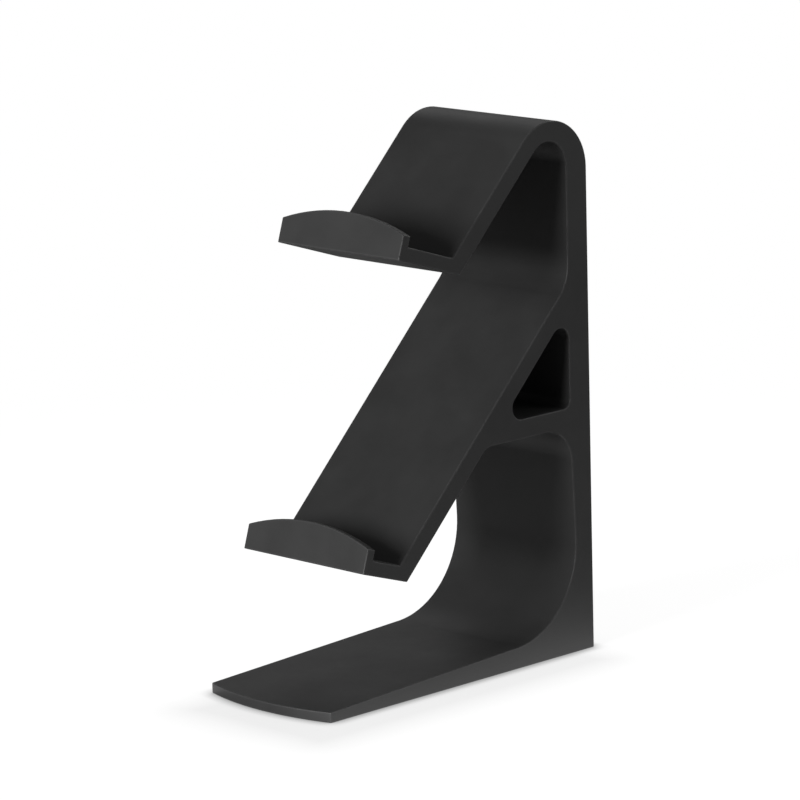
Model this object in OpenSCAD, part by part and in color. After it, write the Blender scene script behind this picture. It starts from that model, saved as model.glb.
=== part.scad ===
// Desk stand that holds two game controllers, one above the other.
// One moulded piece: a flat foot, an upright post and two sloping rests,
// each ending in a ledge and a low arched lip that keeps the controller in.
// Millimetres. X is across, Y runs front (minus) to back (plus), Z is up.
// The origin lies on the floor, under the middle of the overall depth.

/* [Overall] */
// Width of the whole stand across the front
width = 70; // [56:1:90]
// Depth from the back of the post to the tip of the bowed foot
depth = 159; // [150:1:175]
// Height from the floor to the crest of the rounded top
height = 225.6; // [216:0.2:240]

/* [Foot] */
// Thickness of the foot at its front tip
foot_front_t = 4.1; // [3:0.1:6]
// Thickness the foot would reach where it meets the post
foot_back_t = 10.6; // [8:0.1:14]
// How far the front edge of the foot bows out in the middle
foot_bow = 5.4; // [3:0.2:10]
// Radius of the wide sweep from the foot up into the post
foot_sweep = 38; // [28:1:42]

/* [Post] */
// Thickness of the post behind the rests
post_t = 12; // [10:0.2:14]
// Thickness the post tapers down to at the foot
post_low_t = 8.4; // [7:0.2:10]
// Radius of the rounded crest
crest_round = 21.5; // [18:0.5:24]

/* [Sloping rests] */
// Angle of both rests above the floor
rest_angle = 45; // [43:0.5:48]
// Thickness of both rests
rest_t = 8; // [6:0.2:9]
// Height where the lower rest runs into the post
lower_rest_z = 157.6; // [150:0.2:162]
// Radius of the hollow where the upper rest leaves the post
crest_hollow = 11; // [8:0.5:12]
// Radius of the hollow where the lower rest meets the post
joint_hollow = 18; // [10:1:22]

/* [Shelf] */
// Height of the underside of the shelf behind the lower rest
shelf_z = 96.4; // [90:0.2:102]
// Thickness of the shelf
shelf_t = 8.2; // [6:0.2:10]
// Radius under the shelf at the post
shelf_round = 15.5; // [10:0.5:20]
// Radius under the shelf at the lower rest
shelf_nook = 8; // [4:0.5:12]
// Radius of the two sharp corners of the three sided opening
window_sharp = 5.3; // [3:0.1:6]
// Radius of the square corner of the three sided opening
window_square = 4; // [2:0.5:6]

/* [Ledges and lips] */
// Angle the ledges drop toward the rests
ledge_tilt = 17.7; // [15:0.1:20]
// Thickness of the ledges
ledge_t = 6; // [5:0.2:7]
// Thickness of the lips
lip_t = 4; // [3:0.2:5]
// Height of a lip at its two sides, from the underside of the ledge
lip_side_h = 10.4; // [9:0.2:13]
// Extra height of a lip in the middle of its arch
lip_arch = 6; // [3:0.5:9]
// Height of the low corner under the upper ledge
upper_ledge_z = 169.5; // [162:0.5:176]
// Length of the upper ledge underneath
upper_ledge_l = 36; // [30:0.5:40]
// Height of the low corner under the lower ledge
lower_ledge_z = 49.1; // [44:0.1:56]
// Length of the lower ledge underneath
lower_ledge_l = 25.6; // [22:0.2:30]

/* [Show] */
// Which piece to draw

/* [Hidden] */
round_fn = 96;
charcoal = [0.16, 0.16, 0.16];

// side view coordinates are [y, z] with y = 0 on the back of the post
slope = [cos(rest_angle), sin(rest_angle)];
across_slope = rest_t / cos(rest_angle);
// heights of the four rest faces, continued to y = 0
upper_front_c = height - crest_round + crest_round / tan((90 - rest_angle) / 2);
upper_back_c = upper_front_c - across_slope;
lower_front_c = lower_rest_z + post_t * tan(rest_angle);
lower_back_c = lower_front_c - across_slope;

// directions along a ledge (to the back) and up a lip
along = [cos(ledge_tilt), -sin(ledge_tilt)];
up = [sin(ledge_tilt), cos(ledge_tilt)];
// bowed edges start out longer by this much, then get trimmed to the bow
spare = 0.5;
// roundings are wider than their name by this much, so each arc ends on a clean line
ease = 0.01;
lip_h = lip_side_h + lip_arch + spare;

// point of a rest face at height z, for a face that reaches height c at y = 0
function on_face(c, z) = [(z - c) / tan(rest_angle), z];

// where the line through p along a ledge meets a rest face
function ledge_meets(p, c) =
    let (s = (c + p[0] * tan(rest_angle) - p[1]) / (along[1] - along[0] * tan(rest_angle)))
    p + s * along;

upper_corner = on_face(upper_back_c, upper_ledge_z);
lower_corner = on_face(lower_back_c, lower_ledge_z);
upper_tip = upper_corner - upper_ledge_l * along;
lower_tip = lower_corner - lower_ledge_l * along;

// height of the top face of the foot
function foot_top(y) = foot_front_t + (foot_back_t - foot_front_t) * (y + depth) / (depth - post_low_t);

// ledge and lip of one cradle, from the rest's front face round to its back face
function cradle(tip, corner, front_c) = [
    ledge_meets(tip + ledge_t * up, front_c),
    tip + ledge_t * up + lip_t * along,
    tip + lip_h * up + lip_t * along,
    tip + lip_h * up,
    tip,
    corner
];

// the corners of the outline that get rounded
crest_corner = [0, upper_front_c];
hollow_corner = [-post_t, upper_back_c - post_t * tan(rest_angle)];
joint_corner = [-post_t, lower_rest_z];
nook_corner = on_face(lower_back_c, shelf_z);
shelf_corner = [-post_t, shelf_z];
sweep_corner = [-post_low_t, foot_top(-post_low_t)];
foot_tip = [-depth - spare, foot_top(-depth - spare)];

outline = concat(
    [[0, 0], crest_corner],
    cradle(upper_tip, upper_corner, upper_front_c),
    [hollow_corner, joint_corner],
    cradle(lower_tip, lower_corner, lower_front_c),
    [nook_corner, shelf_corner, sweep_corner, foot_tip, [foot_tip[0], 0]]
);

// corners of the opening between post, shelf and lower rest
window_low = [-post_t, shelf_z + shelf_t];
window_top = [-post_t, lower_back_c - post_t * tan(rest_angle)];
window_front = on_face(lower_back_c, shelf_z + shelf_t);

// side view shape drawn out across the stand, grown by over at both sides
module across(over = 0) {
    translate([-width / 2 - over, 0, 0])
        rotate([90, 0, 90])
        linear_extrude(height = width + 2 * over) children();
}

// piece between a sharp corner p and its rounding, a and b being points on its sides
module corner_web(p, a, b, r, over = 0) {
    ua = (a - p) / norm(a - p);
    ub = (b - p) / norm(b - p);
    half = acos(ua * ub) / 2;
    c = p + (ua + ub) / norm(ua + ub) * r / sin(half);
    reach = 1.1;
    ta = p + ua * r / tan(half) - c;
    tb = p + ub * r / tan(half) - c;
    difference() {
        across(over) polygon([c, c + reach * ta, c + reach * (p - c), c + reach * tb]);
        translate([0, c[0], c[1]])
            rotate([0, 90, 0])
            cylinder(h = width + 2 * over + 2, r = r + ease, center = true, $fn = round_fn);
    }
}

// three sided opening behind the lower rest
module window() {
    difference() {
        across(1) polygon([window_low, window_top, window_front]);
        corner_web(window_low, window_top, window_front, window_square, 2);
        corner_web(window_top, window_low, window_front, window_sharp, 2);
        corner_web(window_front, window_low, window_top, window_sharp, 2);
    }
}

// the stand with straight edges across
module body() {
    difference() {
        union() {
            across() polygon(outline);
            corner_web(hollow_corner, upper_corner, joint_corner, crest_hollow);
            corner_web(joint_corner, hollow_corner, joint_corner - slope, joint_hollow);
            corner_web(nook_corner, lower_corner, shelf_corner, shelf_nook);
            corner_web(shelf_corner, nook_corner, sweep_corner, shelf_round);
            corner_web(sweep_corner, shelf_corner, foot_tip, foot_sweep);
        }
        corner_web(crest_corner, [0, 0], crest_corner - slope, crest_round, 1);
        window();
    }
}

// what is cut away on both sides of a bow: half_w by sag, t deep
module bow_cut(sag, t) {
    half_w = width / 2;
    r = (half_w * half_w + sag * sag) / (2 * sag);
    difference() {
        translate([-half_w - 1, -1, 0]) cube([width + 2, sag + 2, t]);
        translate([0, sag - r, -1]) cylinder(h = t + 2, r = r, $fn = round_fn);
    }
}

// arch cut for the top of the lip that stands on tip
module arch_cut(tip) {
    translate([0, tip[0], tip[1]])
        rotate([-ledge_tilt, 0, 0])
        translate([0, lip_t + 2, lip_side_h])
        rotate([90, 0, 0])
        bow_cut(lip_arch, lip_t + 4);
}

module stand() {
    color(charcoal)
    translate([0, depth / 2, 0])
    difference() {
        body();
        arch_cut(upper_tip);
        arch_cut(lower_tip);
        translate([0, foot_bow - depth, -1])
            mirror([0, 1, 0])
            bow_cut(foot_bow, foot_back_t + 2);
    }
}

stand();
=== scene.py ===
from math import cos, radians, sin

import bpy
from mathutils import Matrix, Vector


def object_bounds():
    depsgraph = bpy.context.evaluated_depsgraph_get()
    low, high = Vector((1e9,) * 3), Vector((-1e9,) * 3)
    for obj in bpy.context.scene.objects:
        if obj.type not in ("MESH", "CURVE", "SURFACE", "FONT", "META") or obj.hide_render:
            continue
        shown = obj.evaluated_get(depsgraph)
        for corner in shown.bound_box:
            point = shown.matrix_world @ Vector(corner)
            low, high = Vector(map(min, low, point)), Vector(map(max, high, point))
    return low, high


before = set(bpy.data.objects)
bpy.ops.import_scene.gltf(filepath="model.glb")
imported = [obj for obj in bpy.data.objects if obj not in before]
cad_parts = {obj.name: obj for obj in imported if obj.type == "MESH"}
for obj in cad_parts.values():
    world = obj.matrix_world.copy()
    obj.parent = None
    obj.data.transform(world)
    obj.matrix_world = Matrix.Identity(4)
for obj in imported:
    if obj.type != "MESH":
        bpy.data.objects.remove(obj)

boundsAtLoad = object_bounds()  # the CAD box
scene = bpy.context.scene
scene.view_settings.view_transform = "Standard"

# set from the stand's own straight edges
camera = {
    "place": (1.3063, -1.2785, 0.4971),
    "turn": 45.546,  # degrees round the stand, 0 looks along +Y
    "tilt": 11.825,  # degrees looking down
    "roll": -1.454,  # degrees
    "lens": 205.59,
    "sensor": 36.0,
    "clip": (0.05, 60),  # nearest and furthest seen
}


def makeCamera():
    data = bpy.data.cameras.new("camera")
    data.lens = camera["lens"]
    data.sensor_width = camera["sensor"]
    data.clip_start, data.clip_end = camera["clip"]
    cam = bpy.data.objects.new("camera", data)
    scene.collection.objects.link(cam)
    cam.matrix_world = (
        Matrix.Translation(camera["place"])
        @ Matrix.Rotation(radians(camera["turn"]), 4, "Z")
        @ Matrix.Rotation(radians(90 - camera["tilt"]), 4, "X")
        @ Matrix.Rotation(radians(camera["roll"]), 4, "Z")
    )
    scene.camera = cam


makeCamera()
print("camera set")


def newMaterial(name):
    mat = bpy.data.materials.new(name)
    mat.use_nodes = True
    mat.node_tree.nodes.clear()
    return mat, mat.node_tree


def addNode(tree, kind, at, label=None, **settings):
    # settings name an input socket or a property of the node
    node = tree.nodes.new(kind)
    node.location = at
    if label:
        node.label = label
    for key, value in settings.items():
        if key in node.inputs:
            node.inputs[key].default_value = value
        else:
            setattr(node, key, value)
    return node


def feed(tree, socket, source):
    # source is another node's output or a plain value
    if isinstance(source, bpy.types.NodeSocket):
        tree.links.new(source, socket)
    else:
        socket.default_value = source


def addMath(tree, at, label, operation, *sources):
    node = addNode(tree, "ShaderNodeMath", at, label, operation=operation)
    for socket, source in zip(node.inputs, sources):
        feed(tree, socket, source)
    return node.outputs["Value"]


def addVector(tree, at, label, operation, *sources):
    node = addNode(tree, "ShaderNodeVectorMath", at, label, operation=operation)
    for socket, source in zip(node.inputs, sources):
        feed(tree, socket, source)
    return node.outputs["Value" if operation == "LENGTH" else "Vector"]


def addRange(tree, at, label, source, fromSpan=(0, 1), toSpan=(0, 1), smooth=False):
    node = addNode(tree, "ShaderNodeMapRange", at, label)
    if smooth:
        node.interpolation_type = "SMOOTHSTEP"
    feed(tree, node.inputs["Value"], source)
    for socket, value in zip(("From Min", "From Max", "To Min", "To Max"), (*fromSpan, *toSpan)):
        node.inputs[socket].default_value = value
    return node.outputs["Result"]


def addColourMix(tree, at, label, factor, first, second):
    node = addNode(tree, "ShaderNodeMix", at, label, data_type="RGBA")
    for index, source in ((0, factor), (6, first), (7, second)):  # the colours' own sockets
        feed(tree, node.inputs[index], source)
    return node.outputs[2]


def addNoise(tree, at, label, where, size, detail, roughness=0.5):
    node = addNode(
        tree, "ShaderNodeTexNoise", at, label, Scale=1 / size, Detail=detail, Roughness=roughness,
    )
    feed(tree, node.inputs["Vector"], where)
    return node.outputs["Fac"]


def addShaders(tree, kind, at, *sources):
    node = addNode(tree, kind, at)
    for socket, source in zip(node.inputs, sources):
        feed(tree, socket, source)
    return node.outputs["Shader"]


def addGlow(tree, at, strength):
    node = addNode(tree, "ShaderNodeEmission", at, Color=(1, 1, 1, 1))
    feed(tree, node.inputs["Strength"], strength)
    return node.outputs["Emission"]


stand = {
    "weldWithin": 0.00001,  # metres, as are all lengths here
    "flatWithin": 1.0,  # degrees, triangles of one flat side become one face
    "edgeRadius": 0.0004,  # rounding of every moulded edge
    "edgeSteps": 3,
    "edgeAngle": 35,  # degrees, neighbouring facets of an arc turn less than this
    "colour": (0.030, 0.030, 0.030, 1),
    "paler": (0.036, 0.036, 0.036, 1),  # the slow mottling goes this far
    "sheen": 0.50,  # specular level of the matte skin
    "roughness": (0.46, 0.56),
    "mottleSize": 0.030,
    "mottleGrade": (4.0, 0.6),  # detail and roughness of the noise
    "mottleSpan": (0.35, 0.65),  # this part of the noise makes the whole range
    "highlitEdges": (0.085, 0.085, 0.085, 1),  # painted highlight along the edges
    "highlightReach": 0.0008,  # how far in from an edge
    "highlightSpan": (0.96, 0.62),  # openness where the painted highlight starts and where it is full
    "highlightSamples": 12,
    "patchSize": 0.006,  # the painted edge highlight comes and goes along an edge
    "patchDetail": 3.0,
    "patchSpan": (0.3, 0.7),
    "patchLevel": (0.55, 1),
    "grainSize": 0.00045,  # spark texture of the mould
    "grainGrade": (2.0, 0.55),
    "grainDepth": 0.00002,
    "grainStrength": 0.6,
}


def charcoalPlastic():
    mat, tree = newMaterial("charcoalPlastic")
    where = addNode(tree, "ShaderNodeTexCoord", (-1400, 0)).outputs["Object"]

    # slow mottling, seen more in the shine than in the colour
    mottle = addNoise(
        tree, (-1150, 250), "mottle", where, stand["mottleSize"], *stand["mottleGrade"],
    )
    spread = addRange(tree, (-930, 250), "spread", mottle, stand["mottleSpan"])
    tone = addColourMix(tree, (-700, 300), "tone", spread, stand["colour"], stand["paler"])
    shine = addRange(tree, (-700, 50), "shine", spread, toSpan=stand["roughness"])

    # painted highlight on the edges, found by how near the next face is inside the body
    edge = addNode(
        tree, "ShaderNodeAmbientOcclusion", (-1400, -300), "edge",
        samples=stand["highlightSamples"], inside=True, only_local=True, Distance=stand["highlightReach"],
    )
    highlightMask = addRange(tree, (-1180, -300), "highlightMask", edge.outputs["AO"], stand["highlightSpan"])
    patchy = addNoise(
        tree, (-1180, -560), "patchy", where, stand["patchSize"], stand["patchDetail"],
    )
    uneven = addRange(
        tree, (-960, -520), "uneven", patchy, stand["patchSpan"], stand["patchLevel"],
    )
    edgeHighlight = addMath(tree, (-740, -350), "edgeHighlight", "MULTIPLY", highlightMask, uneven)
    highlitEdges = addColourMix(tree, (-450, 250), "highlitEdges", edgeHighlight, tone, stand["highlitEdges"])

    # fine spark grain of the mould
    grain = addNoise(tree, (-700, -600), "grain", where, stand["grainSize"], *stand["grainGrade"])
    bump = addNode(
        tree, "ShaderNodeBump", (-450, -500), "bump",
        Strength=stand["grainStrength"], Distance=stand["grainDepth"],
    )
    feed(tree, bump.inputs["Height"], grain)

    shell = addNode(tree, "ShaderNodeBsdfPrincipled", (-150, 100))
    shell.inputs["Specular IOR Level"].default_value = stand["sheen"]
    feed(tree, shell.inputs["Base Color"], highlitEdges)
    feed(tree, shell.inputs["Roughness"], shine)
    feed(tree, shell.inputs["Normal"], bump.outputs["Normal"])
    out = addNode(tree, "ShaderNodeOutputMaterial", (150, 100))
    feed(tree, out.inputs["Surface"], shell.outputs["BSDF"])
    return mat


def smoothShading():
    group = bpy.data.node_groups.new("smoothShading", "GeometryNodeTree")
    for way in ("INPUT", "OUTPUT"):
        group.interface.new_socket("Geometry", in_out=way, socket_type="NodeSocketGeometry")
    start = group.nodes.new("NodeGroupInput")
    smooth = group.nodes.new("GeometryNodeSetShadeSmooth")
    end = group.nodes.new("NodeGroupOutput")
    group.links.new(start.outputs[0], smooth.inputs["Geometry"])
    group.links.new(smooth.outputs["Geometry"], end.inputs[0])
    return group


def dressStand():
    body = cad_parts["stand"]
    body.material_slots[0].material = charcoalPlastic()
    weld = body.modifiers.new("weld", "WELD")
    weld.merge_threshold = stand["weldWithin"]
    flat = body.modifiers.new("wholeFaces", "DECIMATE")
    flat.decimate_type = "DISSOLVE"
    flat.angle_limit = radians(stand["flatWithin"])
    bevel = body.modifiers.new("roundedEdges", "BEVEL")
    bevel.width = stand["edgeRadius"]
    bevel.segments = stand["edgeSteps"]
    bevel.limit_method = "ANGLE"
    bevel.angle_limit = radians(stand["edgeAngle"])
    bevel.use_clamp_overlap = True
    shade = body.modifiers.new("smoothShading", "NODES")
    shade.node_group = smoothShading()
    body.modifiers.new("evenNormals", "WEIGHTED_NORMAL")


dressStand()
print("stand dressed")

paleFloor = {
    "radius": 14.0,
    "sides": 96,
    "sheetEdge": (0.28, 0.40),  # metres from the middle where the pale sheet ends
    "sheetTones": (0.60, 0.20),  # the sheet under the stand and the table round it
    "glow": 0.85,  # light the sheet gives off along both sides of the foot, a glow standing in for bounce
    "glowReach": 0.055,  # metres out from the foot
    "seen": (0.35, 0.35, 0.35, 1),  # the floor as the camera sees it
    "lift": 0.88,  # light of its own that brings it to white
    "contactReach": 0.006,  # how far the painted dark line round the foot spreads
    "contactDepth": 1.3,
    "contactSamples": 16,
    "shadowReach": 0.035,  # and the painted soft shadow outside it
    "shadowDepth": 0.18,
    "shadowFall": 2.0,  # how quickly it thins out
    "shadowShift": (0.015, -0.015, 0),
    "whiteFrom": (0.30, 0.60),  # metres from the middle where it turns plain white
}


def footDistance(tree, place, shift, row):
    # how far a point of the floor lies outside the stand's plan moved by shift,
    # and the same for x and y on their own
    half = (boundsAtLoad[1][0], boundsAtLoad[1][1], 0)
    moved = addVector(tree, (-1480, row), "moved", "SUBTRACT", place, shift)
    folded = addVector(tree, (-1300, row), "folded", "ABSOLUTE", moved)
    past = addVector(tree, (-1120, row), "past the edge", "SUBTRACT", folded, half)
    outside = addVector(tree, (-940, row), "outside", "MAXIMUM", past)
    return addVector(tree, (-760, row), "away", "LENGTH", outside), past


def sheetLight(tree, place, reach):
    # what lights the stand: a pale sheet that ends on a darker table
    tone = addRange(
        tree, (-700, 300), "sheet edge", reach, paleFloor["sheetEdge"], paleFloor["sheetTones"],
    )
    sheet = addNode(tree, "ShaderNodeBsdfDiffuse", (-500, 300))
    feed(tree, sheet.inputs["Color"], tone)

    # and its glow along both sides of the foot, a painted bounce light
    away, past = footDistance(tree, place, (0, 0, 0), 600)
    glow = addRange(
        tree, (-580, 600), "glow", away,
        (0, paleFloor["glowReach"]), (paleFloor["glow"], 0), smooth=True,
    )
    parts = addNode(tree, "ShaderNodeSeparateXYZ", (-940, 800))
    feed(tree, parts.inputs["Vector"], past)
    beside = addMath(tree, (-760, 800), "beside", "GREATER_THAN", parts.outputs["X"], 0)
    strip = addMath(tree, (-480, 750), "strip", "MULTIPLY", glow, beside)
    return addShaders(
        tree, "ShaderNodeAddShader", (-200, 400),
        sheet.outputs["BSDF"], addGlow(tree, (-380, 600), strip),
    )


def whiteSeen(tree, place, reach):
    # what the camera sees: a white floor with a painted soft shadow round the stand's foot
    matte = addNode(tree, "ShaderNodeBsdfDiffuse", (-700, -100), Color=paleFloor["seen"])
    corner = addNode(
        tree, "ShaderNodeAmbientOcclusion", (-1300, -250), "corner",
        samples=paleFloor["contactSamples"], Distance=paleFloor["contactReach"],
    )
    paintedContactShade = addMath(
        tree, (-1100, -250), "paintedContactShade", "POWER", corner.outputs["AO"], paleFloor["contactDepth"],
    )
    away = footDistance(tree, place, paleFloor["shadowShift"], -450)[0]
    near = addRange(tree, (-580, -450), "near", away, (0, paleFloor["shadowReach"]), (1, 0))
    fall = addMath(tree, (-400, -450), "fall", "POWER", near, paleFloor["shadowFall"])
    paintedSoftShadow = addMath(tree, (-220, -450), "paintedSoftShadow", "MULTIPLY_ADD", fall, -paleFloor["shadowDepth"], 1)
    # painted shadow: contact darkening and a soft shadow from the foot's outline dim the floor's
    # own light
    paintedShadow = addMath(tree, (-900, -250), "paintedShadow", "MULTIPLY", paintedContactShade, paintedSoftShadow)
    level = addMath(tree, (-800, -250), "level", "MULTIPLY", paintedShadow, paleFloor["lift"])
    lifted = addShaders(
        tree, "ShaderNodeAddShader", (-500, -150),
        matte.outputs["BSDF"], addGlow(tree, (-700, -250), level),
    )
    fade = addRange(tree, (-700, 0), "fade", reach, paleFloor["whiteFrom"], smooth=True)
    return addShaders(
        tree, "ShaderNodeMixShader", (-300, -150), fade, lifted, addGlow(tree, (-500, -300), 1),
    )


def makeFloor():
    bpy.ops.mesh.primitive_circle_add(
        vertices=paleFloor["sides"], radius=paleFloor["radius"], fill_type="NGON",
    )
    floor = bpy.context.object
    floor.name = "floor"
    mat, tree = newMaterial("paleFloor")
    place = addNode(tree, "ShaderNodeNewGeometry", (-1700, 0)).outputs["Position"]
    reach = addVector(tree, (-1100, 0), "reach", "LENGTH", place)
    path = addNode(tree, "ShaderNodeLightPath", (-300, 900))
    both = addShaders(
        tree, "ShaderNodeMixShader", (-20, 50), path.outputs["Is Camera Ray"],
        sheetLight(tree, place, reach), whiteSeen(tree, place, reach),
    )
    out = addNode(tree, "ShaderNodeOutputMaterial", (180, 50))
    feed(tree, out.inputs["Surface"], both)
    floor.data.materials.append(mat)


studio = {
    "ambient": 0.10,  # the room, which only the camera sees as white
    "aimHeight": 0.1,  # every lamp points at this height
    "lamps": {
        # degrees round from the front, degrees up, metres away, size, watts
        "key": (0, 12, 2.1, 0.9, 36.5),
        "fill": (315, 15, 2.0, 1.1, 0.4),
        "side": (130, 18, 2.0, 1.1, 6.5),
        "behind": (182, 30, 2.0, 1.1, 8.5),
        "left": (225, 40, 2.0, 1.1, 2.0),
    },
}


def makeLamp(name, around, lift, away, size, watts):
    data = bpy.data.lights.new(name, "AREA")
    data.shape = "DISK"
    data.size = size
    data.energy = watts
    lamp = bpy.data.objects.new(name, data)
    scene.collection.objects.link(lamp)
    toward = Vector((
        sin(radians(around)) * cos(radians(lift)),
        -cos(radians(around)) * cos(radians(lift)),
        sin(radians(lift)),
    ))
    lamp.location = toward * away + Vector((0, 0, studio["aimHeight"]))
    lamp.rotation_euler = toward.to_track_quat("Z", "Y").to_euler()


def makeRoom():
    world = bpy.data.worlds.new("studio")
    scene.world = world
    world.use_nodes = True
    tree = world.node_tree
    tree.nodes.clear()
    path = addNode(tree, "ShaderNodeLightPath", (-500, 0))
    level = addRange(
        tree, (-300, 0), "level", path.outputs["Is Camera Ray"], toSpan=(studio["ambient"], 1),
    )
    sky = addNode(tree, "ShaderNodeBackground", (-100, 0), Color=(1, 1, 1, 1))
    feed(tree, sky.inputs["Strength"], level)
    out = addNode(tree, "ShaderNodeOutputWorld", (100, 0))
    feed(tree, out.inputs["Surface"], sky.outputs["Background"])


makeFloor()
for name, values in studio["lamps"].items():
    makeLamp(name, *values)
makeRoom()
print("studio lit")
